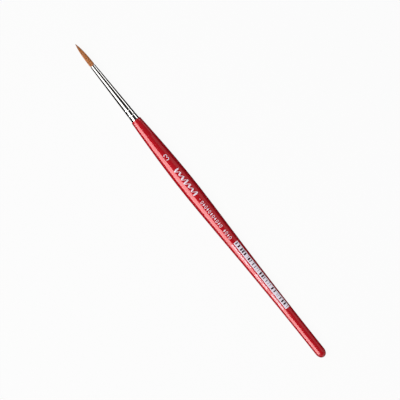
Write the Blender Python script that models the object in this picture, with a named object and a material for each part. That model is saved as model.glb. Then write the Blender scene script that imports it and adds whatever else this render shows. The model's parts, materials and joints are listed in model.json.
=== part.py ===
"""Fine detail brush: a turned, lacquered wooden handle, a crimped metal ferrule and a round tuft.

The brush lies along X, with the tip of its tuft towards -X. The belly of the handle touches
Z = 0, and X = 0 is halfway along the brush. All sizes are in metres.

The tuft bends. Four short lengths of it turn on each other, each with a cup that runs over a
dome of hair on the length behind it, in turn up and down and from side to side.
"""
import math

import bmesh
import bpy
import numpy as np
from mathutils import Matrix, Vector

MM = 0.001

# Lengths along the brush.
TUFT_LENGTH = 12.5 * MM           # hair that stands out of the ferrule
FERRULE_LENGTH = 30.85 * MM
HANDLE_LENGTH = 134.95 * MM       # from the shoulder behind the ferrule to the rounded end

# Handle outline.
SHOULDER_DIAMETER = 4.7 * MM
BELLY_DIAMETER = 7.46 * MM
TAIL_DIAMETER = 4.58 * MM
SHOULDER_TO_BELLY = 36.15 * MM
BELLY_LENGTH = 4.5 * MM           # straight stretch that the brush rests on
SHOULDER_ROUNDING = 0.4 * MM
TAIL_ROUNDING = 3.0 * MM          # length of the rounded end
SWELL_POWER = 1.72                # how the outline leaves the belly towards the shoulder
TAPER_POWERS = (1.385, 2.727)     # and how it runs down to the tail

# Tenon, lacquer and adhesive.
LACQUER_THICKNESS = 0.15 * MM
TENON_LENGTH = 13.0 * MM          # part of the wood that sits in the ferrule
TENON_CHAMFER = 0.4 * MM
ADHESIVE_THICKNESS = 0.1 * MM
ADHESIVE_SETBACK = 0.6 * MM       # bare ends of the tenon in front of and behind the adhesive

# Ferrule.
MOUTH_DIAMETER = 2.36 * MM
FERRULE_END_DIAMETER = 3.92 * MM
FERRULE_WALL = 0.25 * MM
EDGE_ROUNDING = 0.08 * MM
CRIMPS_FROM_SHOULDER = (5.5 * MM, 2.7 * MM)
CRIMP_WIDTH = 0.8 * MM
CRIMP_DEPTH = 0.12 * MM

# Hair in the ferrule, the thread that ties it and the resin that holds it.
ROOT_LENGTH = 8.5 * MM
RESIN_LENGTH = 4.2 * MM
RESIN_GRIP = 2.0 * MM             # length of hair end that is sunk in the resin
THREAD_DIAMETER = 0.24 * MM
THREAD_TURNS = 4
ROOT_FLARE = 0.06 * MM            # how far the hair end spreads behind the thread

# Tuft outline and the lengths that it bends in.
HAIR_DIAMETER = 2.35 * MM
HAIR_POWERS = (2.55, 0.84)
FIRST_BEND = 0.35 * MM            # from the ferrule's mouth to the first bend
HEEL_SPACING = 3.0 * MM           # and from each bend to the next
BELLY_SPACING = 3.0 * MM
SHOULDER_SPACING = 2.7 * MM
DRIVEN_ANGLE = math.radians(20)   # each way at the first two bends
FOLLOWING_ANGLE = math.radians(25)  # each way at the last two
SPARE_ANGLE = math.radians(2.5)   # dome left beyond the limit
RIM_THICKNESS = 0.06 * MM

# Clearances.
BOND_GAP = 0.03 * MM              # between bonded or tied pieces
BEND_GAP = 0.08 * MM              # between a cup and its dome
POINT_MERGE = 0.0005 * MM

SIDES = 24                        # facets round every turned piece, one of them facing down
ARC_STEPS = 5                     # segments in a cup, a dome or a rounded end
FLATS_OUT = 1 / math.cos(math.pi / SIDES)

# Places along the brush.
TIP_X = -(TUFT_LENGTH + FERRULE_LENGTH + HANDLE_LENGTH) / 2
MOUTH_X = TIP_X + TUFT_LENGTH
SHOULDER_X = MOUTH_X + FERRULE_LENGTH
BELLY_X = SHOULDER_X + SHOULDER_TO_BELLY
END_X = SHOULDER_X + HANDLE_LENGTH
AXIS_Z = BELLY_DIAMETER / 2
BEND_X = MOUTH_X - np.cumsum([FIRST_BEND, HEEL_SPACING, BELLY_SPACING, SHOULDER_SPACING])
BEND_ANGLE = (DRIVEN_ANGLE, DRIVEN_ANGLE, FOLLOWING_ANGLE, FOLLOWING_ANGLE)


# ---- Tools ----

def clear_scene():
    for old in list(bpy.data.objects):
        bpy.data.objects.remove(old, do_unlink=True)


def make_material(name, colour, roughness, metallic=0.0):
    material = bpy.data.materials.new(name)
    material.use_nodes = True
    shader = material.node_tree.nodes["Principled BSDF"]
    shader.inputs["Base Color"].default_value = (*colour, 1.0)
    shader.inputs["Roughness"].default_value = roughness
    shader.inputs["Metallic"].default_value = metallic
    return material


def turned(name, outline, material, closed=False, centre=Vector(), carrier=None):
    """Turn an outline of (x, radius) points round the brush's axis.

    An open outline starts and ends on the axis, and a closed one makes a ring. The object's
    origin is at centre, and it moves with its carrier. Radii are measured to the flats.
    """
    work = bmesh.new()
    to_facet = Matrix.Rotation(math.pi / SIDES, 3, "X")
    corners = [work.verts.new(to_facet @ Vector((x, 0, radius * FLATS_OUT))) for x, radius in outline]
    edges = [work.edges.new(pair) for pair in zip(corners, corners[1:])]
    if closed:
        edges.append(work.edges.new((corners[-1], corners[0])))
    bmesh.ops.spin(work, geom=corners + edges, cent=(0, 0, 0), axis=(1, 0, 0),
                   angle=math.tau, steps=SIDES, use_duplicate=False)
    bmesh.ops.remove_doubles(work, verts=work.verts, dist=POINT_MERGE)
    bmesh.ops.recalc_face_normals(work, faces=work.faces)
    bmesh.ops.translate(work, verts=work.verts, vec=Vector((0, 0, AXIS_Z)) - centre)
    mesh = bpy.data.meshes.new(name)
    work.to_mesh(mesh)
    work.free()
    mesh.shade_smooth()
    mesh.set_sharp_from_angle(angle=math.radians(30))
    mesh.materials.append(material)
    piece = bpy.data.objects.new(name, mesh)
    bpy.context.scene.collection.objects.link(piece)
    piece.parent = carrier
    piece.location = centre - carrier.matrix_world.translation if carrier else centre
    bpy.context.view_layer.update()
    return piece


def arc(centre_x, centre_r, half_x, half_r, start, end, steps=ARC_STEPS):
    """Points on an ellipse, at angles from the -X direction towards the outside."""
    return [(centre_x - half_x * math.cos(angle), centre_r + half_r * math.sin(angle))
            for angle in np.linspace(start, end, steps + 1)]


# ---- Outlines ----

def handle_radius(x):
    """The belly's radius, less a power of the distance in front of the belly or behind it."""
    belly = BELLY_DIAMETER / 2
    ahead = BELLY_X - x
    behind = x - BELLY_X - BELLY_LENGTH
    if ahead > 0:
        return belly - (belly - SHOULDER_DIAMETER / 2) * (ahead / SHOULDER_TO_BELLY) ** SWELL_POWER
    if behind > 0:
        taper_length = END_X - TAIL_ROUNDING - BELLY_X - BELLY_LENGTH
        along, power = TAPER_POWERS
        left = (1 - (behind / taper_length) ** along) ** power
        return TAIL_DIAMETER / 2 + (belly - TAIL_DIAMETER / 2) * left
    return belly


def ferrule_stations(start, end):
    """Places between start and end where a piece that follows the ferrule's wall has a point."""
    stations = [start, end]
    for distance in CRIMPS_FROM_SHOULDER:
        crimp = SHOULDER_X - distance
        stations += [crimp + CRIMP_WIDTH * share for share in (-0.5, -0.25, 0, 0.25, 0.5)]
    return sorted(x for x in stations if start <= x <= end)


def ferrule_radius(x):
    """A straight cone, less a rounded groove at each crimp."""
    share = (x - MOUTH_X) / FERRULE_LENGTH
    radius = (MOUTH_DIAMETER + (FERRULE_END_DIAMETER - MOUTH_DIAMETER) * share) / 2
    for distance in CRIMPS_FROM_SHOULDER:
        offset = abs(x - SHOULDER_X + distance) / CRIMP_WIDTH
        if offset < 0.5:
            radius -= CRIMP_DEPTH * (1 + math.cos(math.tau * offset)) / 2
    return radius


def bore_radius(x):
    return ferrule_radius(x) - FERRULE_WALL


def tenon_radius(x):
    """Clear of the adhesive, which is clear of the bore."""
    return bore_radius(x) - ADHESIVE_THICKNESS - 2 * BOND_GAP


def handle_outline(inset):
    """The handle from its shoulder to the pole at its end, with its surface moved in by inset."""
    face = SHOULDER_DIAMETER / 2 - tenon_radius(SHOULDER_X) - 2 * BOND_GAP
    rounding = min(SHOULDER_ROUNDING, face)
    corner = max(rounding - inset, rounding / 4)
    front = SHOULDER_X + inset
    tail = END_X - TAIL_ROUNDING
    outline = arc(front + corner, handle_radius(front + corner) - inset - corner, corner, corner,
                  0, math.pi / 2, 3)
    swell = np.linspace(front + corner, BELLY_X, 9)[1:]
    taper = np.linspace(BELLY_X + BELLY_LENGTH, tail, 13)[:-1]
    outline += [(x, handle_radius(x) - inset) for x in (*swell, *taper)]
    outline += arc(tail, 0, TAIL_ROUNDING - inset, TAIL_DIAMETER / 2 - inset, math.pi / 2, math.pi)
    return outline


def hair_radius(x):
    """Full at the ferrule and drawn in to a point, by powers of the share of length left."""
    share = min((x - TIP_X) / TUFT_LENGTH, 1)
    draw, point = HAIR_POWERS
    return HAIR_DIAMETER / 2 * (1 - (1 - share) ** draw) ** point


# ---- Bends ----

def cup_radius(bend):
    """A cup's radius, so that its rim is the hair's radius less the rim's thickness."""
    return (hair_radius(BEND_X[bend]) - RIM_THICKNESS) / math.cos(BEND_ANGLE[bend] + SPARE_ANGLE)


def rim_x(bend):
    return BEND_X[bend] - cup_radius(bend) * math.sin(BEND_ANGLE[bend] + SPARE_ANGLE)


def dome(bend):
    """From the pole of the dome at a bend to its widest circle."""
    radius = cup_radius(bend) - BEND_GAP
    return arc(BEND_X[bend], 0, radius, radius, 0, math.pi / 2)


def cup(bend):
    """From the rim of the cup at a bend to its pole."""
    radius = cup_radius(bend)
    rim = math.pi / 2 - BEND_ANGLE[bend] - SPARE_ANGLE
    return arc(BEND_X[bend], 0, radius, radius, rim, 0)


# ---- Pieces ----

def build_handle(wood, lacquer):
    """Wooden core with its tenon, and the lacquer that covers all but the tenon."""
    tenon_front = SHOULDER_X - TENON_LENGTH
    stations = ferrule_stations(tenon_front + TENON_CHAMFER, SHOULDER_X)
    tenon = [(x, tenon_radius(x)) for x in stations]
    neck = tenon_radius(SHOULDER_X)
    core = [(tenon_front, 0), (tenon_front, tenon[0][1] - TENON_CHAMFER), *tenon]
    core += [(SHOULDER_X + LACQUER_THICKNESS + BOND_GAP, neck)]
    core += handle_outline(LACQUER_THICKNESS + BOND_GAP)
    turned("handle_core", core, wood)

    hole = [(SHOULDER_X, neck + BOND_GAP), (SHOULDER_X + LACQUER_THICKNESS, neck + BOND_GAP)]
    skin = handle_outline(0)[::-1] + hole + handle_outline(LACQUER_THICKNESS)
    turned("handle_lacquer", skin, lacquer)


def build_adhesive(adhesive):
    """Sleeve between the tenon and the ferrule's wall, pressed in with the wall at each crimp."""
    stations = ferrule_stations(SHOULDER_X - TENON_LENGTH + ADHESIVE_SETBACK,
                                SHOULDER_X - ADHESIVE_SETBACK)
    outside = [(x, bore_radius(x) - BOND_GAP) for x in stations]
    inside = [(x, radius - ADHESIVE_THICKNESS) for x, radius in outside]
    turned("tenon_adhesive", outside + inside[::-1], adhesive, closed=True)


def build_ferrule(metal):
    """Seamless cone with a rounded mouth and two crimps, which stops just short of the shoulder."""
    end = SHOULDER_X - BOND_GAP
    outside = [(x, ferrule_radius(x)) for x in ferrule_stations(MOUTH_X + EDGE_ROUNDING, end)]
    mouth_corner = [(MOUTH_X, ferrule_radius(MOUTH_X) - EDGE_ROUNDING)]
    inside = [(x, bore_radius(x)) for x in ferrule_stations(MOUTH_X, end)]
    turned("ferrule", mouth_corner + outside + inside[::-1], metal, closed=True)


def build_root(hair, thread, resin):
    """Hair in the ferrule, tied at a waist, with its end spread and sunk in a cup of resin."""
    root_end = MOUTH_X + ROOT_LENGTH
    resin_front = root_end - RESIN_GRIP
    tie_front = resin_front - BOND_GAP - THREAD_TURNS * THREAD_DIAMETER
    waist_front = tie_front - BOND_GAP
    thread_inside = bore_radius(waist_front) - BOND_GAP - THREAD_DIAMETER
    waist = thread_inside - BOND_GAP
    flare = waist + ROOT_FLARE

    front = [(x, bore_radius(x) - BOND_GAP) for x in (MOUTH_X - BOND_GAP, waist_front)]
    end = [(waist_front, waist), (resin_front, waist), (resin_front + ROOT_FLARE, flare),
           (root_end, flare), (root_end, 0)]
    root = turned("tuft_root", dome(0) + front + end, hair)

    turns = [(tie_front, thread_inside)]
    for turn in range(THREAD_TURNS):
        middle = tie_front + (turn + 0.5) * THREAD_DIAMETER
        half = THREAD_DIAMETER / 2
        turns += arc(middle, thread_inside + half, half, half, 0, math.pi, 4)[:-1]
    turns += [(tie_front + THREAD_TURNS * THREAD_DIAMETER, thread_inside + half),
              (tie_front + THREAD_TURNS * THREAD_DIAMETER, thread_inside)]
    turned("root_binding", turns, thread, closed=True)

    resin_end = resin_front + RESIN_LENGTH
    recess = flare + BOND_GAP
    cast = [(resin_end, 0), (resin_end, bore_radius(resin_end) - BOND_GAP),
            (resin_front, bore_radius(resin_front) - BOND_GAP), (resin_front, recess),
            (root_end + BOND_GAP, recess), (root_end + BOND_GAP, 0)]
    turned("root_resin", cast, resin)
    return root


def build_tuft(root, hair):
    """Four lengths of hair in front of the root, each carried by the one behind it."""
    carrier = root
    names = ("tuft_heel", "tuft_belly", "tuft_shoulder", "tuft_tip")
    for bend, name in enumerate(names):
        rim = rim_x(bend)
        if bend + 1 < len(names):
            front = dome(bend + 1)
            start = BEND_X[bend + 1] + BEND_GAP
        else:
            front = [(TIP_X, 0)]
            start = TIP_X + TUFT_LENGTH / 100
        sides = [(x, hair_radius(x)) for x in np.linspace(start, rim, 5)]
        centre = Vector((BEND_X[bend], 0, AXIS_Z))
        carrier = turned(name, front + sides + cup(bend), hair, centre=centre, carrier=carrier)


def main():
    clear_scene()
    wood = make_material("birch", (0.72, 0.52, 0.32), 0.7)
    lacquer = make_material("red_lacquer", (0.50, 0.012, 0.020), 0.12)
    metal = make_material("nickel_plate", (0.78, 0.77, 0.75), 0.12, metallic=1.0)
    adhesive = make_material("adhesive", (0.80, 0.70, 0.45), 0.4)
    resin = make_material("epoxy_resin", (0.62, 0.40, 0.15), 0.25)
    thread = make_material("binding_thread", (0.85, 0.82, 0.74), 0.8)
    hair = make_material("sable_hair", (0.40, 0.15, 0.06), 0.5)
    build_handle(wood, lacquer)
    build_adhesive(adhesive)
    build_ferrule(metal)
    root = build_root(hair, thread, resin)
    build_tuft(root, hair)


main()
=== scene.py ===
"""Fine detail brush: its fine surfaces and finishes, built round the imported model.

The brush lies along X with its tuft towards -X, and its print faces up. Lengths are in metres.
"""
import json
import math

import bpy
import numpy as np
from bpy.props import FloatProperty, FloatVectorProperty, IntProperty, PointerProperty
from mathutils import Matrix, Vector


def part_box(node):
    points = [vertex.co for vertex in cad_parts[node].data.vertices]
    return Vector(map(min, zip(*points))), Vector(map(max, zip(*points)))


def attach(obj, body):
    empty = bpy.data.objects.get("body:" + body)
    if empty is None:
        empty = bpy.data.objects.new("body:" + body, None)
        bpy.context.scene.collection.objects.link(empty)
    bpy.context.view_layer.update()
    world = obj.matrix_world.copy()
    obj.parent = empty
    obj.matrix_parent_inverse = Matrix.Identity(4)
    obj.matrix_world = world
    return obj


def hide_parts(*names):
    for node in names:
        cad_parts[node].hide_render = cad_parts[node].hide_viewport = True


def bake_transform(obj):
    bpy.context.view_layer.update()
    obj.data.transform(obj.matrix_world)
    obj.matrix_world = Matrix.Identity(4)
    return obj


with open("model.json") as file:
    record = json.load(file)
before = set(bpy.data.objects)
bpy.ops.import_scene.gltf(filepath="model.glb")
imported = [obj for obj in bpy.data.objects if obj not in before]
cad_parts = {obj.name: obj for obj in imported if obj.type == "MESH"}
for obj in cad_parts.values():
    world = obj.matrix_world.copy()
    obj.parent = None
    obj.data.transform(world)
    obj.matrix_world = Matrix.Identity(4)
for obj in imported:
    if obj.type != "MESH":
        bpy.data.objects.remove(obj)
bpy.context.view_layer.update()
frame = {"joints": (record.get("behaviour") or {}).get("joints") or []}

bl_info = {
    "name": "Fine Detail Brush",
    "version": (1, 0, 0),
    "blender": (4, 5, 0),
    "location": "3D View > Sidebar > Brush",
    "description": "Builds the lacquered handle, ferrule, tuft and print of a fine detail brush",
    "category": "Add Mesh",
}

MM = 0.001

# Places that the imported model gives.
COAT_LOW, COAT_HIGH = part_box("handle_lacquer")
FERRULE_LOW, FERRULE_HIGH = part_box("ferrule")
TIP_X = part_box("tuft_tip")[0].x
MOUTH_X = FERRULE_LOW.x
SHOULDER_X = COAT_LOW.x
END_X = COAT_HIGH.x
AXIS_Z = (COAT_LOW.z + COAT_HIGH.z) / 2
BELLY_RADIUS = (COAT_HIGH.z - COAT_LOW.z) / 2
FERRULE_END_RADIUS = (FERRULE_HIGH.z - FERRULE_LOW.z) / 2
FERRULE_END_X = FERRULE_HIGH.x
TENON_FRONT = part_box("handle_core")[0].x
BENDS = {joint["child"]: joint["pos_m"][0] for joint in frame["joints"]}

# The binding thread's thickness, and how far the hair's hidden root starts behind the mouth.
THREAD_THICKNESS = 0.24 * MM
ROOT_SETBACK = 0.92 * MM


# ---- Sizes and colours ----

class BrushSizes(bpy.types.PropertyGroup):
    """Sizes of the fine surfaces."""

    shoulder_radius: FloatProperty(
        name="Shoulder radius", description="Radius of the handle just behind the ferrule",
        default=2.35 * MM, unit="LENGTH", precision=5)
    tail_radius: FloatProperty(
        name="Tail radius", description="Radius of the handle where its rounded end begins",
        default=2.29 * MM, unit="LENGTH", precision=5)
    belly_start: FloatProperty(
        name="Shoulder to belly", description="Distance from the shoulder to the belly",
        default=36.15 * MM, unit="LENGTH", precision=5)
    belly_length: FloatProperty(
        name="Belly length", description="Straight stretch of the belly",
        default=4.5 * MM, unit="LENGTH", precision=5)
    shoulder_rounding: FloatProperty(
        name="Shoulder rounding", description="Radius of the edge behind the ferrule",
        default=0.4 * MM, unit="LENGTH", precision=5)
    tail_rounding: FloatProperty(
        name="Tail rounding", description="Length of the rounded end",
        default=3.0 * MM, unit="LENGTH", precision=5)
    coat: FloatProperty(
        name="Lacquer", description="Thickness of the lacquer",
        default=0.15 * MM, unit="LENGTH", precision=5)
    wall: FloatProperty(
        name="Ferrule wall", description="Thickness of the ferrule's wall",
        default=0.25 * MM, unit="LENGTH", precision=5)
    mouth_radius: FloatProperty(
        name="Mouth radius", description="Outer radius of the ferrule at its mouth",
        default=1.18 * MM, unit="LENGTH", precision=5)
    crimp_width: FloatProperty(
        name="Crimp width", description="Width of each groove pressed into the ferrule",
        default=0.8 * MM, unit="LENGTH", precision=5)
    crimp_depth: FloatProperty(
        name="Crimp depth", description="Depth of each groove",
        default=0.12 * MM, unit="LENGTH", precision=5)
    hair_radius: FloatProperty(
        name="Tuft radius", description="Radius of the tuft at its fullest",
        default=1.175 * MM, unit="LENGTH", precision=5)
    strand_radius: FloatProperty(
        name="Hair radius", description="Radius of one hair at its thickest",
        default=0.045 * MM, unit="LENGTH", precision=5)
    gap: FloatProperty(
        name="Gap", description="Clearance between bonded pieces",
        default=0.03 * MM, unit="LENGTH", precision=5)
    sides: IntProperty(
        name="Facets", description="Facets round a turned piece", default=128, min=24, max=256)


class BrushColours(bpy.types.PropertyGroup):
    """Colours of the finishes."""

    lacquer: FloatVectorProperty(
        name="Lacquer", description="Red of the handle", subtype="COLOR",
        default=(0.400, 0.0080, 0.0145), min=0, max=1)
    lacquer_deep: FloatVectorProperty(
        name="Deep lacquer", description="Red where the lacquer lies thicker", subtype="COLOR",
        default=(0.330, 0.0055, 0.0105), min=0, max=1)
    print_white: FloatVectorProperty(
        name="Print", description="Colour of the printing ink", subtype="COLOR",
        default=(0.74, 0.71, 0.80), min=0, max=1)
    print_black: FloatVectorProperty(
        name="Dark print", description="Colour of the ink in the printed bars", subtype="COLOR",
        default=(0.020, 0.010, 0.016), min=0, max=1)
    nickel: FloatVectorProperty(
        name="Plating", description="Colour of the ferrule's plating", subtype="COLOR",
        default=(0.80, 0.79, 0.77), min=0, max=1)
    hair: FloatVectorProperty(
        name="Hair", description="Colour of the hair", subtype="COLOR",
        default=(0.52, 0.193, 0.058), min=0, max=1)
    hair_dark: FloatVectorProperty(
        name="Dark hair", description="Colour of the darker hairs", subtype="COLOR",
        default=(0.30, 0.106, 0.034), min=0, max=1)


def sizes():
    """The sizes set in the panel."""
    return bpy.context.scene.brush_sizes


def colours():
    """The colours set in the panel."""
    return bpy.context.scene.brush_colours


# ---- Shader maths ----

class Socket:
    """An output socket that Python's arithmetic works on: each operation adds a Math node."""

    def __init__(self, paint, output):
        self.paint = paint
        self.output = output

    def maths(self, operation, *values):
        return self.paint.node("ShaderNodeMath", {"operation": operation}, dict(enumerate(values)))

    def __add__(self, other):
        return self.maths("ADD", self, other)

    def __radd__(self, other):
        return self.maths("ADD", other, self)

    def __sub__(self, other):
        return self.maths("SUBTRACT", self, other)

    def __rsub__(self, other):
        return self.maths("SUBTRACT", other, self)

    def __mul__(self, other):
        return self.maths("MULTIPLY", self, other)

    def __rmul__(self, other):
        return self.maths("MULTIPLY", other, self)

    def clamped(self):
        """Kept between 0 and 1."""
        return self.maths("MAXIMUM", self.maths("MINIMUM", self, 1.0), 0.0)


class Paint:
    """One material, or the world, and the nodes that make its finish."""

    def __init__(self, name, store=None):
        self.made = (bpy.data.materials if store is None else store).new(name)
        self.made.use_nodes = True
        self.tree = self.made.node_tree
        self.tree.nodes.clear()

    def node(self, kind, settings=None, values=None, out=0):
        """Add a node: its settings first, then its sockets' values or links. Returns one output.

        With out as None the node is only added, as the material's output has no socket to give.
        """
        node = self.tree.nodes.new(kind)
        for name, setting in (settings or {}).items():
            setattr(node, name, setting)
        for name, value in (values or {}).items():
            if isinstance(value, Socket):
                self.tree.links.new(value.output, node.inputs[name])
            else:
                node.inputs[name].default_value = value
        return None if out is None else Socket(self, node.outputs[out])

    def stretched(self, scale):
        """Object coordinates about the brush's axis, multiplied by scale."""
        place = self.node("ShaderNodeTexCoord", out="Object")
        return self.node("ShaderNodeMapping", values={
            "Vector": place, "Location": (0, 0, -AXIS_Z * scale[2]), "Scale": scale})

    def noise(self, scale, detail=3.0, roughness=0.5):
        """Noise with about scale waves to the metre along X, Y and Z."""
        return self.node("ShaderNodeTexNoise", values={
            "Vector": self.stretched(scale), "Scale": 1.0, "Detail": detail, "Roughness": roughness})

    def ramp(self, value, low, high):
        """0 below low, 1 above high and a straight line between them."""
        return self.node("ShaderNodeMapRange", {"clamp": True}, {
            "Value": value, "From Min": low, "From Max": high, "To Min": 0.0, "To Max": 1.0})

    def seen(self):
        """1 where the surface is seen: by the camera, in a reflection or through something clear."""
        rays = [self.node("ShaderNodeLightPath", out=kind)
                for kind in ("Is Camera Ray", "Is Glossy Ray", "Is Transmission Ray")]
        return (rays[0] + rays[1] + rays[2]).clamped()

    def mix(self, share, first, second):
        """The first colour where share is 0 and the second where it is 1."""
        first, second = ((*c, 1.0) if not isinstance(c, Socket) and len(c) == 3 else c
                         for c in (first, second))
        return self.node("ShaderNodeMix", {"data_type": "RGBA"}, {0: share, 6: first, 7: second}, out=2)

    def bump(self, height, distance, strength):
        """A normal tilted as if a height of 1 stood that distance proud."""
        return self.node("ShaderNodeBump", values={
            "Height": height, "Distance": distance, "Strength": strength})

    def surface(self, shader):
        """The material with this shader on its surface, which no light is sampled from."""
        self.node("ShaderNodeOutputMaterial", values={"Surface": shader}, out=None)
        self.made.cycles.emission_sampling = "NONE"
        return self.made

    def finish(self, settings):
        """The Principled shader with these sockets, as the material's surface."""
        return self.surface(self.node("ShaderNodeBsdfPrincipled", values=settings))


# ---- Finishes ----

def lacquer_finish():
    """Glossy red lacquer: a little metal flake and the wood's grain under a clear, rubbed coat."""
    paint = Paint("red_lacquer")
    grain = paint.noise((60, 900, 900), detail=4)
    cloud = paint.noise((40, 90, 90), detail=2)
    flake = paint.noise((9000, 9000, 9000), detail=2)
    rub = paint.noise((150, 4000, 4000), detail=2)
    share = (grain * 0.5 + cloud * 0.5 - 0.35).clamped()
    return paint.finish({
        "Base Color": paint.mix(share, colours().lacquer, colours().lacquer_deep),
        "Metallic": 0.07 + flake * 0.07,
        "Roughness": 0.42 + grain * 0.06,
        "Specular IOR Level": 0.0,
        "Coat Weight": 1.0 - rub * 0.12,
        "Coat Roughness": 0.05,
        "Coat IOR": 1.5,
        "Normal": paint.bump(flake * 0.5 + grain * 0.5, 0.004 * MM, 0.5),
    })


def ink_finish(name, colour):
    """Printing ink: thin enough to show a little red, and worn in specks."""
    paint = Paint(name)
    speck = paint.ramp(paint.noise((2500, 2500, 2500), detail=3), 0.60, 0.72)
    thin = paint.noise((300, 1200, 1200), detail=2)
    share = (speck * 0.25 + thin * 0.10).clamped()
    return paint.finish({
        "Base Color": paint.mix(share, colour, colours().lacquer),
        "Roughness": 0.22 + thin * 0.15,
        "Normal": paint.bump(speck, 0.004 * MM, 0.5),
    })


def nickel_finish():
    """Plated and polished metal: fine turned lines, faint clouds and a few long scratches."""
    paint = Paint("nickel_plate")
    lines = paint.noise((9000, 300, 300), detail=3)
    cloud = paint.noise((250, 500, 500), detail=3)
    scratch = paint.ramp(paint.noise((200, 6000, 6000), detail=1), 0.66, 0.70)
    colour = paint.mix((cloud * 0.3).clamped(), colours().nickel, (0.70, 0.68, 0.66))
    return paint.finish({
        "Base Color": colour,
        "Metallic": 1.0,
        "Roughness": 0.03 + cloud * 0.03 + scratch * 0.08,
        "Normal": paint.bump(lines * 0.4 + scratch * 0.6, 0.0005 * MM, 0.3),
    })


def hair_finish():
    """Fine hair: each hair has its own shade and a soft sheen, and the core under the hairs a darker one
    as painted shade. Made once, for root and tuft.
    """
    if "fine_hair" in bpy.data.materials:
        return bpy.data.materials["fine_hair"]
    paint = Paint("fine_hair")
    shade = paint.node("ShaderNodeAttribute", {"attribute_name": "shade"}, out="Fac")
    streak = paint.noise((300, 9000, 9000), detail=2)
    share = (shade * 0.75 + streak * 0.35 - 0.1).clamped()
    colour = paint.mix(share, colours().hair, colours().hair_dark)
    return paint.finish({
        "Base Color": colour,
        "Roughness": 0.42 + streak * 0.15,
        "Specular IOR Level": 0.25,
        "Normal": paint.bump(streak, 0.003 * MM, 0.4),
    })


def wood_finish():
    """Bare birch: long straight grain and short pores."""
    paint = Paint("birch")
    grain = paint.noise((70, 1500, 1500), detail=5, roughness=0.6)
    pores = paint.ramp(paint.noise((900, 9000, 9000), detail=2), 0.60, 0.70)
    colour = paint.mix(grain, (0.78, 0.60, 0.40), (0.60, 0.40, 0.22))
    return paint.finish({
        "Base Color": paint.mix(pores * 0.5, colour, (0.35, 0.20, 0.10)),
        "Roughness": 0.62 + grain * 0.2,
        "Normal": paint.bump(grain - pores * 0.5, 0.02 * MM, 0.6),
    })


def resin_finish(name, colour, dark):
    """Set resin or adhesive: amber, with small bubbles and a wavy skin."""
    paint = Paint(name)
    wave = paint.noise((700, 700, 700), detail=2)
    bubble = paint.ramp(paint.node("ShaderNodeTexVoronoi", values={
        "Vector": paint.stretched((3000, 3000, 3000)), "Scale": 1.0}), 0.18, 0.10)
    return paint.finish({
        "Base Color": paint.mix(wave, colour, dark),
        "Roughness": 0.18 + wave * 0.2,
        "Normal": paint.bump(wave + bubble, 0.01 * MM, 0.5),
    })


def thread_finish():
    """Binding thread: undyed fibres twisted along the winding."""
    paint = Paint("binding_thread")
    fibre = paint.noise((9000, 5000, 5000), detail=3)
    return paint.finish({
        "Base Color": paint.mix(fibre, (0.80, 0.76, 0.66), (0.58, 0.53, 0.43)),
        "Roughness": 0.75 + fibre * 0.15,
        "Normal": paint.bump(fibre, 0.01 * MM, 0.8),
    })


# ---- Surfaces ----

# Edges that turn by more than this stay sharp.
SHARP_EDGE = math.radians(40)
# Depth of a flute, as a share of the radius.
FLUTE_DEPTH = 0.035


def joined(pieces):
    """Several objects made one."""
    if len(pieces) == 1:
        return pieces[0]
    with bpy.context.temp_override(active_object=pieces[0], selected_editable_objects=pieces):
        bpy.ops.object.join()
    return pieces[0]


def grid_mesh(name, points, material, round_rows=False, round_columns=True, poles=(False, False)):
    """A mesh from grids of points, shaped (..., rows, columns, 3), joined in rows and columns.

    Rows or columns can close on themselves, and the first or last row can be a pole, whose points
    are one point. If the faces point inwards, by the sign of the volume, they are all turned.
    """
    points = np.asarray(points, float)
    index = np.arange(points[..., 0].size).reshape(points.shape[:-1])
    if poles[0]:
        index[..., 0, :] = index[..., 0, :1]
    if poles[1]:
        index[..., -1, :] = index[..., -1, :1]
    used, index = np.unique(index, return_inverse=True)
    index = index.reshape(points.shape[:-1])
    points = points.reshape(-1, 3)[used]
    if round_columns:
        index = np.concatenate([index, index[..., :1]], axis=-1)
    if round_rows:
        index = np.concatenate([index, index[..., :1, :]], axis=-2)
    quads = np.stack([index[..., :-1, :-1], index[..., 1:, :-1],
                      index[..., 1:, 1:], index[..., :-1, 1:]], axis=-1).reshape(-1, 4)
    first, second, third, fourth = (points[quads[:, corner]] for corner in range(4))
    volume = (np.cross(first, second) * third).sum() + (np.cross(first, third) * fourth).sum()
    if volume < 0:
        quads = quads[:, ::-1]
    ahead = np.roll(quads, -1, axis=1)
    whole = (quads != ahead).all(axis=1)
    kept = (quads != ahead)[~whole]
    faces = quads[whole].tolist() + quads[~whole][kept].reshape(-1, 3).tolist()
    mesh = bpy.data.meshes.new(name)
    mesh.from_pydata(points.tolist(), [], faces)
    mesh.materials.append(material)
    mesh.shade_smooth()
    mesh.set_sharp_from_angle(angle=SHARP_EDGE)
    piece = bpy.data.objects.new(name, mesh)
    bpy.context.scene.collection.objects.link(piece)
    return piece, used


def turn(outline, sides, flutes=0):
    """Points of an outline (x, radius) carried round the brush's axis in equal steps.

    Flutes are that many shallow grooves: the radius is less by a share of 1 - |sine|.
    """
    x, radius = np.asarray(outline, float).T
    angle = np.linspace(0, math.tau, sides, endpoint=False)
    depth = FLUTE_DEPTH * (1 - np.abs(np.sin(flutes * angle / 2))) if flutes else np.zeros(sides)
    radius = radius[:, None] * (1 - depth)
    return np.stack([np.broadcast_to(x[:, None], radius.shape), radius * np.sin(angle),
                     AXIS_Z + radius * np.cos(angle)], axis=-1)


def capped(points):
    """The same tubes, shaped (..., rows, columns, 3), with a row added at the middle of each end."""
    ends = points[..., [0, -1], :, :].mean(axis=-2, keepdims=True).repeat(points.shape[-2], axis=-2)
    return np.concatenate([ends[..., :1, :, :], points, ends[..., 1:, :, :]], axis=-3)


def turned_piece(name, outline, material, ring=False):
    """An outline turned round the axis: a ring, or closed by a pole at each end."""
    points = turn(outline, sizes().sides)
    return grid_mesh(name, points, material, round_rows=ring, poles=(not ring, not ring))[0]


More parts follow.
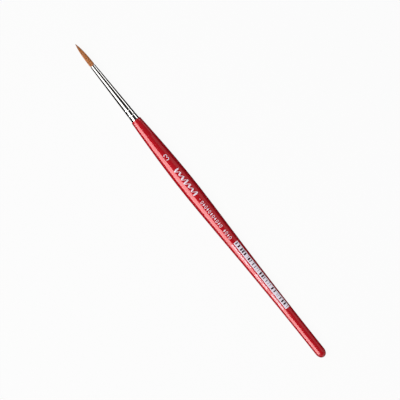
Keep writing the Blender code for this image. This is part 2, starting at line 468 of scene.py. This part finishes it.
def arc(centre, half, start, end, count):
    """Points on an ellipse at angles from the -X direction towards the outside."""
    angle = np.linspace(start, end, count)
    return np.stack([centre[0] - half[0] * np.cos(angle), centre[1] + half[1] * np.sin(angle)], axis=-1)


def smooth_step(share):
    """Rises from 0 to 1, level at both ends: three times the square less twice the cube."""
    share = np.clip(share, 0, 1)
    return share * share * (3 - 2 * share)


# ---- Handle ----

# How the outline leaves the belly towards the shoulder, and how it runs down to the tail.
SWELL_POWER = 1.72
TAPER_POWERS = (1.385, 2.727)
CRIMPS_FROM_SHOULDER = (5.5 * MM, 2.7 * MM)
ADHESIVE_THICKNESS = 0.1 * MM
TENON_CHAMFER = 0.4 * MM


def handle_radius(x):
    """The belly's radius, less a power of the distance in front of the belly or behind it."""
    s = sizes()
    belly_x = SHOULDER_X + s.belly_start
    taper = END_X - s.tail_rounding - belly_x - s.belly_length
    ahead = np.clip((belly_x - x) / s.belly_start, 0, 1)
    behind = np.clip((x - belly_x - s.belly_length) / taper, 0, 1)
    front = (BELLY_RADIUS - s.shoulder_radius) * ahead ** SWELL_POWER
    back = (BELLY_RADIUS - s.tail_radius) * (1 - (1 - behind ** TAPER_POWERS[0]) ** TAPER_POWERS[1])
    return BELLY_RADIUS - front - back


def handle_outline(inset, count):
    """From the shoulder's face round its edge and along the handle to the pole at the end."""
    s = sizes()
    corner = max(s.shoulder_rounding - inset, s.shoulder_rounding / 4)
    front = SHOULDER_X + inset
    tail = END_X - s.tail_rounding
    edge = arc((front + corner, handle_radius(front + corner) - inset - corner),
               (corner, corner), 0, math.pi / 2, 9)
    x = np.linspace(front + corner, tail, count)[1:-1]
    side = np.stack([x, handle_radius(x) - inset], axis=-1)
    end = arc((tail, 0), (s.tail_rounding - inset, s.tail_radius - inset),
              math.pi / 2, math.pi, 24)
    return np.concatenate([edge, side, end])


def ferrule_radius(x):
    """A straight cone from mouth to shoulder, less half a cosine wave at each crimp."""
    s = sizes()
    share = (x - MOUTH_X) / (FERRULE_END_X - MOUTH_X)
    radius = s.mouth_radius + (FERRULE_END_RADIUS - s.mouth_radius) * share
    for distance in CRIMPS_FROM_SHOULDER:
        offset = np.clip((x - SHOULDER_X + distance) / s.crimp_width, -0.5, 0.5)
        radius = radius - s.crimp_depth * (1 + np.cos(math.tau * offset)) / 2
    return radius


def bore_radius(x):
    """The ferrule's radius less its wall."""
    return ferrule_radius(x) - sizes().wall


def tenon_radius(x):
    """The bore's radius less the adhesive and a gap on each side of it."""
    return bore_radius(x) - ADHESIVE_THICKNESS - 2 * sizes().gap


class BRUSH_OT_handle(bpy.types.Operator):
    """Build the wooden core and the lacquer over it"""

    bl_idname = "brush.handle"
    bl_label = "Handle"

    def execute(self, context):
        s = sizes()
        hole = tenon_radius(SHOULDER_X) + s.gap
        face = np.array([[SHOULDER_X, hole], [SHOULDER_X + s.coat, hole]])
        outside = handle_outline(inset=0, count=220)[::-1]
        skin = np.concatenate([outside, face, handle_outline(inset=s.coat, count=60)])
        coat = turned_piece("handle_coat", skin, lacquer_finish())
        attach(coat, "root")
        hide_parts("handle_lacquer")

        x = np.linspace(TENON_FRONT + TENON_CHAMFER, SHOULDER_X, 90)
        tenon = np.stack([x, tenon_radius(x)], axis=-1)
        nose = [[TENON_FRONT, 0], [TENON_FRONT, tenon[0, 1] - TENON_CHAMFER]]
        neck = [[SHOULDER_X + s.coat + s.gap, tenon_radius(SHOULDER_X)]]
        under_coat = handle_outline(inset=s.coat + s.gap, count=80)
        wood = turned_piece("handle_wood", np.concatenate([nose, tenon, neck, under_coat]), wood_finish())
        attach(wood, "root")
        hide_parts("handle_core")
        return {"FINISHED"}


# ---- Ferrule and what it holds ----

# Hair root: its flutes, how far before the thread it starts to draw in and over what length, and
# how far it spreads again behind the thread and over what length.
ROOT_FLUTES = 72
WAIST_LEAD = 0.5 * MM
WAIST_LENGTH = 0.45 * MM
ROOT_FLARE = 0.06 * MM
FLARE_LENGTH = 0.12 * MM
# Depth of the hollow in the resin's back.
RESIN_DISH = 0.10 * MM
# Thread: turns, share of its pitch that it fills, depth of the groove between its plies, and how
# many times the plies turn in one turn of the thread.
THREAD_TURNS = 3
THREAD_FILL = 0.96
PLY_DEPTH = 0.14
PLY_TWIST = 9


class BRUSH_OT_ferrule(bpy.types.Operator):
    """Build the ferrule, with its rounded mouth and two crimps, and the adhesive in it"""

    bl_idname = "brush.ferrule"
    bl_label = "Ferrule"

    def execute(self, context):
        s = sizes()
        lip = s.wall / 2
        x = np.linspace(MOUTH_X + lip, FERRULE_END_X, 260)
        outside = np.stack([x, ferrule_radius(x)], axis=-1)
        inside = np.stack([x, bore_radius(x)], axis=-1)[::-1]
        middle = (MOUTH_X + lip, ferrule_radius(MOUTH_X + lip) - lip)
        mouth = arc(middle, (lip, lip), -math.pi / 2, math.pi / 2, 11)[1:-1]
        shell = turned_piece("ferrule_shell", np.concatenate([mouth, outside, inside]),
                             nickel_finish(), ring=True)
        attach(shell, "root")
        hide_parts("ferrule")

        low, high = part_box("tenon_adhesive")
        x = np.linspace(low.x, high.x, 80)
        outside = np.stack([x, bore_radius(x) - s.gap], axis=-1)
        inside = np.stack([x, bore_radius(x) - s.gap - ADHESIVE_THICKNESS], axis=-1)[::-1]
        glue = turned_piece("adhesive_sleeve", np.concatenate([outside, inside]),
                            resin_finish("adhesive", (0.80, 0.70, 0.45), (0.66, 0.52, 0.28)), ring=True)
        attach(glue, "root")
        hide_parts("tenon_adhesive")
        return {"FINISHED"}


class BRUSH_OT_root(bpy.types.Operator):
    """Build what the ferrule hides: the hair's root, the thread round it and the resin behind it"""

    bl_idname = "brush.root"
    bl_label = "Root"

    def execute(self, context):
        amber = resin_finish("epoxy_resin", (0.62, 0.40, 0.15), (0.45, 0.24, 0.08))
        pieces = ((root_bundle(), "tuft_root", "sable_hair"),
                  (winding(), "root_binding", "binding_thread"),
                  (turned_piece("resin_plug", plug_outline(), amber), "root_resin", "epoxy_resin"))
        for piece, node, slot in pieces:
            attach(piece, "root")
            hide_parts(node)
        return {"FINISHED"}


def thread_place():
    """Where the thread starts and stops along the brush, and its inner radius."""
    low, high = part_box("root_binding")
    return low.x, high.x, (high.z - low.z) / 2 - THREAD_THICKNESS


def root_bundle():
    """Hair packed in the bore: fluted, drawn in smoothly to a waist at the thread, and spread again
    where it sinks in the resin."""
    start, stop, inner = thread_place()
    x = np.linspace(MOUTH_X + ROOT_SETBACK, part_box("tuft_root")[1].x, 120)
    full = bore_radius(x) - sizes().gap
    waist = inner - sizes().gap
    radius = full + (waist - full) * smooth_step((x - start + WAIST_LEAD) / WAIST_LENGTH)
    radius = radius + ROOT_FLARE * smooth_step((x - stop) / FLARE_LENGTH)
    outline = np.concatenate([[[x[0], 0]], np.stack([x, radius], axis=-1), [[x[-1], 0]]])
    points = turn(outline, 4 * ROOT_FLUTES, flutes=ROOT_FLUTES)
    return grid_mesh("hair_root", points, hair_finish(), poles=(True, True))[0]


def plug_outline():
    """Resin cast behind the thread, with the hair's end sunk in it and its back slightly dished."""
    low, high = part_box("root_resin")
    recess = thread_place()[2] + 2 * sizes().gap
    hair_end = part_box("tuft_root")[1].x + sizes().gap
    x = np.linspace(high.x, low.x, 30)
    share = np.linspace(0, 1, 10)
    back = np.stack([high.x - RESIN_DISH * (1 - share ** 2),
                     share * (bore_radius(high.x) - sizes().gap)], axis=-1)
    side = np.stack([x, bore_radius(x) - sizes().gap], axis=-1)[1:]
    return np.concatenate([back, side, [[low.x, recess], [hair_end, recess], [hair_end, 0]]])


def winding():
    """Two-ply thread: a tube along a helix, whose section has two lobes that turn with the length."""
    start, stop, inner = thread_place()
    half = THREAD_THICKNESS / 2
    along = np.linspace(0, 1, 60 * THREAD_TURNS)
    round_it = math.tau * THREAD_TURNS * along
    x = start + half + (stop - start - 2 * half) * along
    section = np.linspace(0, math.tau, 16, endpoint=False)
    ply = np.cos(2 * section - PLY_TWIST * round_it[:, None])
    lobes = THREAD_FILL * half * (1 - PLY_DEPTH + PLY_DEPTH * ply)
    radius = inner + half + lobes * np.cos(section)
    points = np.stack([x[:, None] + lobes * np.sin(section),
                       radius * np.sin(round_it)[:, None],
                       AXIS_Z + radius * np.cos(round_it)[:, None]], axis=-1)
    return grid_mesh("thread_winding", capped(points), thread_finish(), poles=(True, True))[0]


# ---- Tuft ----

# Outline: its powers, and the length over which the hair swells to it out of the bore.
TUFT_POWERS = (2.55, 0.84)
TUFT_SWELL = 0.6 * MM
# Hairs: the layers that they lie in, as shares of the tuft's radius, how many would go round the
# tuft's skin, and the sides of each.
HAIR_LAYERS = (0.965, 0.89, 0.81, 0.72)
HAIRS_ROUND = 72
HAIR_SIDES = 6
# How unevenly they lie: spread of their angle, spread of their depth, and how far each waves round
# the axis and over what length.
ANGLE_SPREAD = 0.02
DEPTH_SPREAD = 0.006
HAIR_WAVE = 0.035
HAIR_WAVE_LENGTH = 3.2 * MM
# Where they end: a quarter of them at the tip and the rest by this spread short of it, less for
# the skin's hairs than for those under it.
WHOLE_SHARE = 0.25
END_SPREAD = 0.9 * MM
SKIN_SPREAD, INNER_SPREAD = 0.8, 1.2
# How they thin: over this length before their end, by this power, down to this share, and with
# this power of the tuft's own radius.
END_TAPER = 4.5 * MM
END_POWER = 0.6
END_SHARE = 0.15
THIN_POWER = 0.8
# Core under them: its share of the tuft's radius, its shade (a darker hair tone, painted shade under the
# hairs), and how far it stops from the tip.
CORE_SHARE = 0.74
CORE_PAINTED_SHADE = 0.9
CORE_SETBACK = 0.6 * MM
# How far the tuft starts in front of its hidden root.
ROOT_SPACE = 0.02 * MM
# Seed of the hairs, and the rows along each hair in the first lengths and in the last one.
HAIR_SEED = 7
HAIR_ROWS = 9
LAST_ROWS = 16


def tuft_radius(x):
    """Swells out of the bore, and is drawn in to a point by powers of the length left."""
    s = sizes()
    share = np.clip((x - TIP_X) / (MOUTH_X - TIP_X), 0, 1)
    full = s.hair_radius * (1 - (1 - share) ** TUFT_POWERS[0]) ** TUFT_POWERS[1]
    bore = bore_radius(np.maximum(x, MOUTH_X)) - s.gap
    swell = smooth_step((MOUTH_X - x) / TUFT_SWELL)
    return bore + (full - bore) * swell


class BRUSH_OT_tuft(bpy.types.Operator):
    """Build the tuft from separate hairs over a core, in four lengths cut midway between its bends"""

    bl_idname = "brush.tuft"
    bl_label = "Tuft"

    def execute(self, context):
        material = hair_finish()
        chain = ["root", *BENDS]
        bends = [BENDS[body] for body in chain[1:]]
        middles = [(near + far) / 2 for near, far in zip(bends, bends[1:])]
        cuts = [MOUTH_X + ROOT_SETBACK - ROOT_SPACE, *middles, TIP_X]
        ends = [*middles, (bends[-1] + TIP_X) / 2]
        for number, (carrier, body) in enumerate(zip(chain, chain[1:])):
            piece = hair_length(f"tuft_length_{number + 1}", cuts[number], cuts[number + 1], material)
            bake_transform(piece)
            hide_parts(f"tuft_{body}")
        return {"FINISHED"}


def hair_length(name, near, far, material):
    """Hairs from near to far: each keeps its share of the tuft's radius, waves slightly round the
    axis, thins with the tuft, and ends at its own place near the tip. Every length draws the same
    hairs, so that they run on from one length to the next."""
    s = sizes()
    rng = np.random.default_rng(HAIR_SEED)
    at_tip = far <= TIP_X + 1e-9
    layers = np.array(HAIR_LAYERS)
    counts = (layers * HAIRS_ROUND).astype(int)
    depth = np.repeat(layers, counts)
    angle = np.concatenate([np.arange(count) / count for count in counts]) * math.tau
    total = depth.size
    angle = angle + rng.normal(0, ANGLE_SPREAD, total)
    depth = depth * (1 + rng.normal(0, DEPTH_SPREAD, total))
    shade = rng.random(total)
    wave = rng.uniform(0, math.tau, total)
    in_skin = depth > (HAIR_LAYERS[0] + HAIR_LAYERS[1]) / 2
    short = np.abs(rng.normal(0, END_SPREAD, total)) * np.where(in_skin, SKIN_SPREAD, INNER_SPREAD)
    short[rng.random(total) < WHOLE_SHARE] = 0.0
    finish = TIP_X + short

    share = np.linspace(0, 1, LAST_ROWS if at_tip else HAIR_ROWS)
    last = finish if at_tip else np.full(total, far)
    x = near + (last[:, None] - near) * share
    radial = depth[:, None] * tuft_radius(x)
    phi = angle[:, None] + HAIR_WAVE * np.sin((x - TIP_X) / HAIR_WAVE_LENGTH + wave[:, None])
    left = np.clip((x - finish[:, None]) / END_TAPER, 0, 1) ** END_POWER
    thick = s.strand_radius * (tuft_radius(x) / s.hair_radius) ** THIN_POWER
    thick = thick * (END_SHARE + (1 - END_SHARE) * left)
    around = np.linspace(0, math.tau, HAIR_SIDES, endpoint=False)
    outwards = radial[..., None] + thick[..., None] * np.cos(around)
    sideways = thick[..., None] * np.sin(around)
    sine, cosine = np.sin(phi)[..., None], np.cos(phi)[..., None]
    points = capped(np.stack([
        np.broadcast_to(x[..., None], outwards.shape),
        outwards * sine + sideways * cosine,
        AXIS_Z + outwards * cosine - sideways * sine], axis=-1))
    hairs, used = grid_mesh(name, points, material, poles=(True, True))
    shades = np.broadcast_to(shade[:, None, None], points.shape[:-1]).ravel()[used]

    x = np.linspace(near, max(far, TIP_X + CORE_SETBACK), 24)
    side = np.stack([x, CORE_SHARE * tuft_radius(x)], axis=-1)
    outline = np.concatenate([[[x[0], 0]], side, [[x[-1], 0]]])
    core, used = grid_mesh(name + "_core", turn(outline, 48), material, poles=(True, True))
    # The core gets a darker hair tone than the hairs over it: painted shade under the hairs.
    for piece, values in ((hairs, shades), (core, np.full(used.size, CORE_PAINTED_SHADE))):
        values = values.astype(np.float32)
        piece.data.attributes.new("shade", "FLOAT", "POINT").data.foreach_set("value", values)
    return joined([hairs, core])


# ---- Print ----

# How far the ink stands over the lacquer, and the thickness of its film, which ends in the lacquer.
PRINT_HEIGHT = 0.02 * MM
PRINT_FILM = 0.03 * MM
# Distance from the top of the brush, towards +Y, of the line that the numeral and the row stand on.
PRINT_MIDDLE = 0.24 * MM
# Seed of the widths of the bars and of the sizes of the ticks.
RULE_SEED = 11


def on_handle(x, across):
    """Points just over the lacquer, at a place along the brush and a distance round it from the top."""
    radius = handle_radius(x) + PRINT_HEIGHT
    angle = across / radius
    return np.stack([x, radius * np.sin(angle), AXIS_Z + radius * np.cos(angle)], axis=-1)


def stroke(path, half_width):
    """A ribbon's two edges: the path moved to each side, square to its direction, by half_width."""
    ahead = np.gradient(path, axis=-2)
    ahead = ahead / np.linalg.norm(ahead, axis=-1, keepdims=True)
    side = np.stack([-ahead[..., 1], ahead[..., 0]], axis=-1) * np.asarray(half_width)[..., None]
    return np.stack([path + side, path - side], axis=-2)


def patches(start, end, bottom, top, rows=2, columns=2):
    """Grids over rectangles: from start to end along the brush, from bottom to top across it."""
    start, end, bottom, top = (np.atleast_1d(value)[:, None, None]
                               for value in np.broadcast_arrays(start, end, bottom, top))
    along = np.linspace(0, 1, rows)[:, None]
    up = np.linspace(1, 0, columns)
    return np.stack(np.broadcast_arrays(start + (end - start) * along,
                                        bottom + (top - bottom) * up), axis=-1)


def printed(name, drawings, ink):
    """Ink on the handle: each drawing's grids (x, across), laid on the lacquer and made a thin film."""
    films = [grid_mesh(name, on_handle(grids[..., 0], grids[..., 1]), ink, round_columns=False,
                       round_rows=closed)[0] for grids, closed in drawings]
    film = joined(films)
    film.data.shade_flat()
    solid = film.modifiers.new("film", "SOLIDIFY")
    solid.thickness = PRINT_FILM
    solid.offset = -1
    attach(film, "root")
    return film


def numeral():
    """The figure 3: two bowls, each an ellipse from its open end round to the waist, where the
    strokes thin and meet."""
    place, height, width, pen = 65.0 * MM, 2.9 * MM, 1.8 * MM, 0.31 * MM
    open_end, waist, steps, thinning, thin_from = 155, -90, 40, 0.5, -1.2
    turned = np.radians(np.linspace(open_end, waist, steps))
    across, up = (width - pen) / 2, (height / 2 - 0.75 * pen) / 2
    bowl = np.stack([across * np.cos(turned), pen / 4 + up * (1 + np.sin(turned))], axis=-1)
    half_width = pen / 2 * (1 - thinning * smooth_step(np.linspace(thin_from, 1, steps)))
    grids = stroke(np.stack([bowl, bowl * (1, -1)]), np.stack([half_width, half_width]))
    return np.stack([TIP_X + place - grids[..., 1], PRINT_MIDDLE + grids[..., 0]], axis=-1)


def flourish():
    """A slanted pen wave: a sine that leans with its height, lower between its ends and its
    middle, thick where it falls and thin where it rises."""
    start, length, waves, middle = 71.6 * MM, 14.8 * MM, 6.5, 0.32 * MM
    height, swing, lean = 1.26 * MM, 0.28, 0.34
    half_pen, half_pen_swing, thin_end, end_rate = 0.23 * MM, 0.13 * MM, 0.2, 40
    share = np.linspace(0, 1, 360)
    phase = math.tau * waves * share
    high = height * (1 - swing + swing * np.cos(2 * math.tau * share)) * np.cos(phase)
    path = np.stack([TIP_X + start + length * share + lean * high, middle + high], axis=-1)
    ends = np.clip(np.minimum(share, 1 - share) * end_rate, thin_end, 1)
    return stroke(path, (half_pen + half_pen_swing * np.sin(phase)) * ends)


def beads():
    """The row behind the flourish: rings and lozenges in turn, a dash before them and a space
    among them."""
    start, pitch, count, space = 90.6 * MM, 1.335 * MM, 16, 11
    half_height, half_length, half_pen = 0.85 * MM, 0.40 * MM, 0.10 * MM
    tip, swell, reach = 0.03 * MM, 0.30 * MM, 0.96
    dash_start, dash_end, dash_width = 88.5 * MM, 89.1 * MM, 0.2 * MM
    place = TIP_X + start + pitch * np.delete(np.arange(count), space)
    turned = np.linspace(0, math.tau, 28, endpoint=False)
    direction = np.stack([np.cos(turned), np.sin(turned)], axis=-1)
    loop = direction * (half_length, half_height - half_pen)
    ring = np.stack([loop - direction * half_pen, loop + direction * half_pen], axis=-2)
    middles = np.stack(np.broadcast_arrays(place[::2], PRINT_MIDDLE), axis=-1)
    rings = ring + middles[:, None, None, :]
    up = np.linspace(-1, 1, 9)
    across = PRINT_MIDDLE + up * reach * half_height
    paths = np.stack(np.broadcast_arrays(place[1::2, None], across), axis=-1)
    lozenges = stroke(paths, np.broadcast_to(tip + swell * (1 - np.abs(up)), paths.shape[:-1]))
    dash = patches(TIP_X + dash_start, TIP_X + dash_end, PRINT_MIDDLE, PRINT_MIDDLE + dash_width)
    return rings, lozenges, dash


def rule():
    """A white field with dark bars of many widths in it, and rows of ticks under it."""
    start, end = TIP_X + 113.55 * MM, TIP_X + 150.95 * MM
    bottom, low, high, top = (value * MM for value in (-0.20, 0.22, 1.76, 2.08))
    bar_count, bar_widths, space_widths = 27, (0.18, 0.35, 0.55, 0.8), (0.45, 1.5)
    tick_groups = ((113.75, 22), (130.5, 14), (142.2, 14))
    tick_pitch, tick_foot, tick_heights, tick_widths = 0.61, -1.48 * MM, (0.55, 0.95), (0.15, 0.32)

    rng = np.random.default_rng(RULE_SEED)
    spaces = rng.uniform(*space_widths, bar_count)
    widths = np.stack([spaces, rng.choice(bar_widths, bar_count)], axis=-1)
    edges = np.append(0, np.cumsum(widths.ravel()[:-1]))
    edges = start + (end - start) * edges / edges[-1]
    cells = patches(edges[::2], edges[1::2], low, high, rows=3, columns=8)
    bars = patches(edges[1:-1:2], edges[2::2], low, high, rows=3, columns=8)
    margins = patches(start, end, np.array([bottom, high]), np.array([low, top]), rows=80, columns=4)
    place = TIP_X + MM * np.concatenate(
        [first + tick_pitch * np.arange(count) for first, count in tick_groups])
    height = rng.uniform(*tick_heights, place.size) * MM
    width = rng.uniform(*tick_widths, place.size) * MM
    ticks = patches(place, place + width, tick_foot, tick_foot + height, columns=4)
    return bars, (cells, margins, ticks)


class BRUSH_OT_print(bpy.types.Operator):
    """Print the figure 3 and the plain ornaments on the handle"""

    bl_idname = "brush.print"
    bl_label = "Print"

    def execute(self, context):
        white = ink_finish("white_ink", colours().print_white)
        black = ink_finish("black_ink", colours().print_black)
        printed("print_numeral", [(numeral(), False)], white)
        printed("print_flourish", [(flourish(), False)], white)
        rings, lozenges, dash = beads()
        printed("print_beads", [(rings, True), (lozenges, False), (dash, False)], white)
        bars, field = rule()
        printed("print_rule", [(grids, False) for grids in field], white)
        printed("print_bars", [(bars, False)], black)
        return {"FINISHED"}


# ---- Stage ----

# Floor: half its side, its grey to the light that falls on it, and how far it is mixed with white
# where it is seen.
FLOOR_REACH = 3.0
FLOOR_GREY = 0.45
FLOOR_GLOW = 0.94
# Heights (as the sine of the elevation) where the surroundings' brightness starts and stops
# falling, and the brightness at each.
HORIZON = (0.2, 0.5, 0.9, 0.03)
# Lights: tilt from overhead in degrees, distance, length along the brush, width, brightness.
SOFTBOX = (58, 0.40, 0.55, 0.425, 7.4)
HIGH_LIGHT = (20, 0.50, 0.40, 0.35, 7.0)
# Camera: focal length and sensor in millimetres, width of the view at the brush's axis, distance
# of its middle from the axis, and turn in degrees.
LENS = 200
SENSOR = 36
VIEW_WIDTH = 178.4 * MM
VIEW_OFFSET = 0.19 * MM
VIEW_TURN = 51.47


class BRUSH_OT_stage(bpy.types.Operator):
    """Lay the floor, hang the lights and set the camera"""

    bl_idname = "brush.stage"
    bl_label = "Stage"

    def execute(self, context):
        floor()
        surroundings()
        lights()
        for card in CARDS:
            reflected_card(*card)
        camera()
        return {"FINISHED"}


def plate(name, corners, material):
    """A flat four-cornered sheet that belongs to the stage."""
    mesh = bpy.data.meshes.new(name)
    mesh.from_pydata(corners, [], [(0, 1, 2, 3)])
    mesh.materials.append(material)
    piece = bpy.data.objects.new(name, mesh)
    bpy.context.scene.collection.objects.link(piece)
    return piece


def floor():
    """Matt and grey to the light that falls on it, and nearly white where it is seen."""
    paint = Paint("floor")
    grey = (FLOOR_GREY, FLOOR_GREY, FLOOR_GREY, 1.0)
    lit = paint.node("ShaderNodeBsdfDiffuse", values={"Color": grey})
    white = paint.node("ShaderNodeEmission", values={"Color": (1, 1, 1, 1), "Strength": 1.0})
    paint.surface(paint.node("ShaderNodeMixShader", values={
        0: paint.seen() * FLOOR_GLOW, 1: lit, 2: white}))
    corners = [(x * FLOOR_REACH, y * FLOOR_REACH, 0) for x, y in ((-1, -1), (1, -1), (1, 1), (-1, 1))]
    plate("floor", corners, paint.made)


def surroundings():
    """A pale band at the horizon and a dim ceiling."""
    low, high, at_low, at_high = HORIZON
    paint = Paint("studio", bpy.data.worlds)
    place = paint.node("ShaderNodeTexCoord", out="Generated")
    height = paint.node("ShaderNodeSeparateXYZ", values={0: place}, out="Z")
    strength = paint.node("ShaderNodeMapRange", values={
        "Value": height, "From Min": low, "From Max": high, "To Min": at_low, "To Max": at_high})
    background = paint.node("ShaderNodeBackground", values={"Color": (1, 1, 1, 1), "Strength": strength})
    paint.node("ShaderNodeOutputWorld", values={"Surface": background}, out=None)
    bpy.context.scene.world = paint.made


def area_light(name, tilt, distance, along, across, strength):
    """A rectangle of light on the -Y side, tilted in degrees from overhead and facing the brush.

    strength is its brightness, where white is 1.
    """
    tilt = math.radians(tilt)
    data = bpy.data.lights.new(name, "AREA")
    data.shape = "RECTANGLE"
    data.size, data.size_y = along, across
    data.energy = strength * math.pi * along * across
    lamp = bpy.data.objects.new(name, data)
    bpy.context.scene.collection.objects.link(lamp)
    lamp.location = (0, -distance * math.sin(tilt), distance * math.cos(tilt))
    lamp.rotation_euler = (tilt, 0, 0)
    lamp.visible_camera = False
    return lamp


def lights():
    """A softbox that polished surfaces reflect, and a higher one that only lights."""
    area_light("softbox", *SOFTBOX).visible_diffuse = False
    area_light("high_light", *HIGH_LIGHT).visible_glossy = False


def reflected_card(name, start, end, near, far, strength):
    """A card from start to end along the brush, seen only as a reflection in polished surfaces.

    near and far are (y, z) of its two long edges. Its brightness is strength, where white is 1.
    """
    paint = Paint(name)
    glow = paint.node("ShaderNodeEmission", values={"Color": (1, 1, 1, 1), "Strength": strength})
    card = plate(name, [(start, *near), (end, *near), (end, *far), (start, *far)],
                 paint.surface(glow))
    card.visible_camera = False
    card.visible_diffuse = False
    card.visible_shadow = False
    card.visible_transmission = False


def camera():
    """Straight above the brush, turned so that it runs from upper left to lower right."""
    data = bpy.data.cameras.new("camera")
    data.lens = LENS
    data.sensor_width = SENSOR
    data.clip_start = 0.01
    view = bpy.data.objects.new("camera", data)
    bpy.context.scene.collection.objects.link(view)
    view.location = (0, VIEW_OFFSET, AXIS_Z + VIEW_WIDTH * LENS / SENSOR)
    view.rotation_euler = (0, 0, math.radians(VIEW_TURN))
    bpy.context.scene.camera = view


def on_circle(distance, angle):
    """(y, z) at a distance from the axis, in degrees from overhead towards +Y."""
    return (distance * math.sin(math.radians(angle)), AXIS_Z + distance * math.cos(math.radians(angle)))


# Where the cards stand: distance from the axis of those at the ferrule and at the handle, height
# over the floor of those that lie on it, and where they start and stop along the brush.
NEAR = 16 * MM
AWAY = 80 * MM
LOW = 0.2 * MM
FRONT = TIP_X - 30 * MM
BACK = END_X + 30 * MM
FERRULE_START = MOUTH_X - 3 * MM
FERRULE_END = SHOULDER_X - 0.8 * MM
NEAR_END = SHOULDER_X - 2 * MM

# Cards: name, start and end along the brush, (y, z) of both edges, brightness.
CARDS = (
    ("ferrule_card_far", FERRULE_START, FERRULE_END, on_circle(NEAR, 51), on_circle(NEAR, 69), 2.4),
    ("ferrule_card_near", FERRULE_START, NEAR_END, on_circle(NEAR, -19), on_circle(NEAR, -41), 2.3),
    ("ferrule_card_low", FERRULE_START, NEAR_END, on_circle(NEAR, -41), on_circle(NEAR, -63), 2.3),
    ("dark_wall_near", FRONT, FERRULE_END, (-NEAR, LOW), on_circle(NEAR, -63), 0.0),
    ("dark_wall_far", FRONT, FERRULE_END, (NEAR, LOW), on_circle(NEAR, 69), 0.0),
    ("crimp_card", SHOULDER_X - 0.50, SHOULDER_X - 0.14, (-0.10, 0.30), (0.10, 0.30), 1.3),
    ("handle_card", SHOULDER_X, BACK, on_circle(AWAY, 33), on_circle(AWAY, 74), 0.55),
    ("dark_wall", SHOULDER_X, BACK, on_circle(AWAY, 75), (AWAY, LOW), 0.0),
    ("dark_floor_near", FRONT, BACK, (-1.5 * MM, LOW), (-70 * MM, LOW), 0.0),
    ("dark_floor_far", FRONT, BACK, (1.5 * MM, LOW), (80 * MM, LOW), 0.0),
)


# ---- Add-on ----

class BRUSH_PT_panel(bpy.types.Panel):
    """Sizes, colours and the steps that build the brush"""

    bl_idname = "BRUSH_PT_panel"
    bl_label = "Fine Detail Brush"
    bl_space_type = "VIEW_3D"
    bl_region_type = "UI"
    bl_category = "Brush"

    def draw(self, context):
        layout = self.layout
        for group in (context.scene.brush_sizes, context.scene.brush_colours):
            box = layout.box()
            for name in group.__annotations__:
                box.prop(group, name)
        for step in STEPS:
            layout.operator(step.bl_idname)


# The operators, in the order that they run in.
STEPS = (BRUSH_OT_handle, BRUSH_OT_print, BRUSH_OT_ferrule, BRUSH_OT_root, BRUSH_OT_tuft,
         BRUSH_OT_stage)
CLASSES = (BrushSizes, BrushColours, *STEPS, BRUSH_PT_panel)


def register():
    for kind in CLASSES:
        bpy.utils.register_class(kind)
    bpy.types.Scene.brush_sizes = PointerProperty(type=BrushSizes)
    bpy.types.Scene.brush_colours = PointerProperty(type=BrushColours)


def unregister():
    del bpy.types.Scene.brush_colours
    del bpy.types.Scene.brush_sizes
    for kind in reversed(CLASSES):
        bpy.utils.unregister_class(kind)


def main():
    register()
    bpy.context.scene.view_settings.view_transform = "Standard"
    for step in STEPS:
        group, name = step.bl_idname.split(".")
        getattr(getattr(bpy.ops, group), name)()


if __name__ == "__main__":
    main()
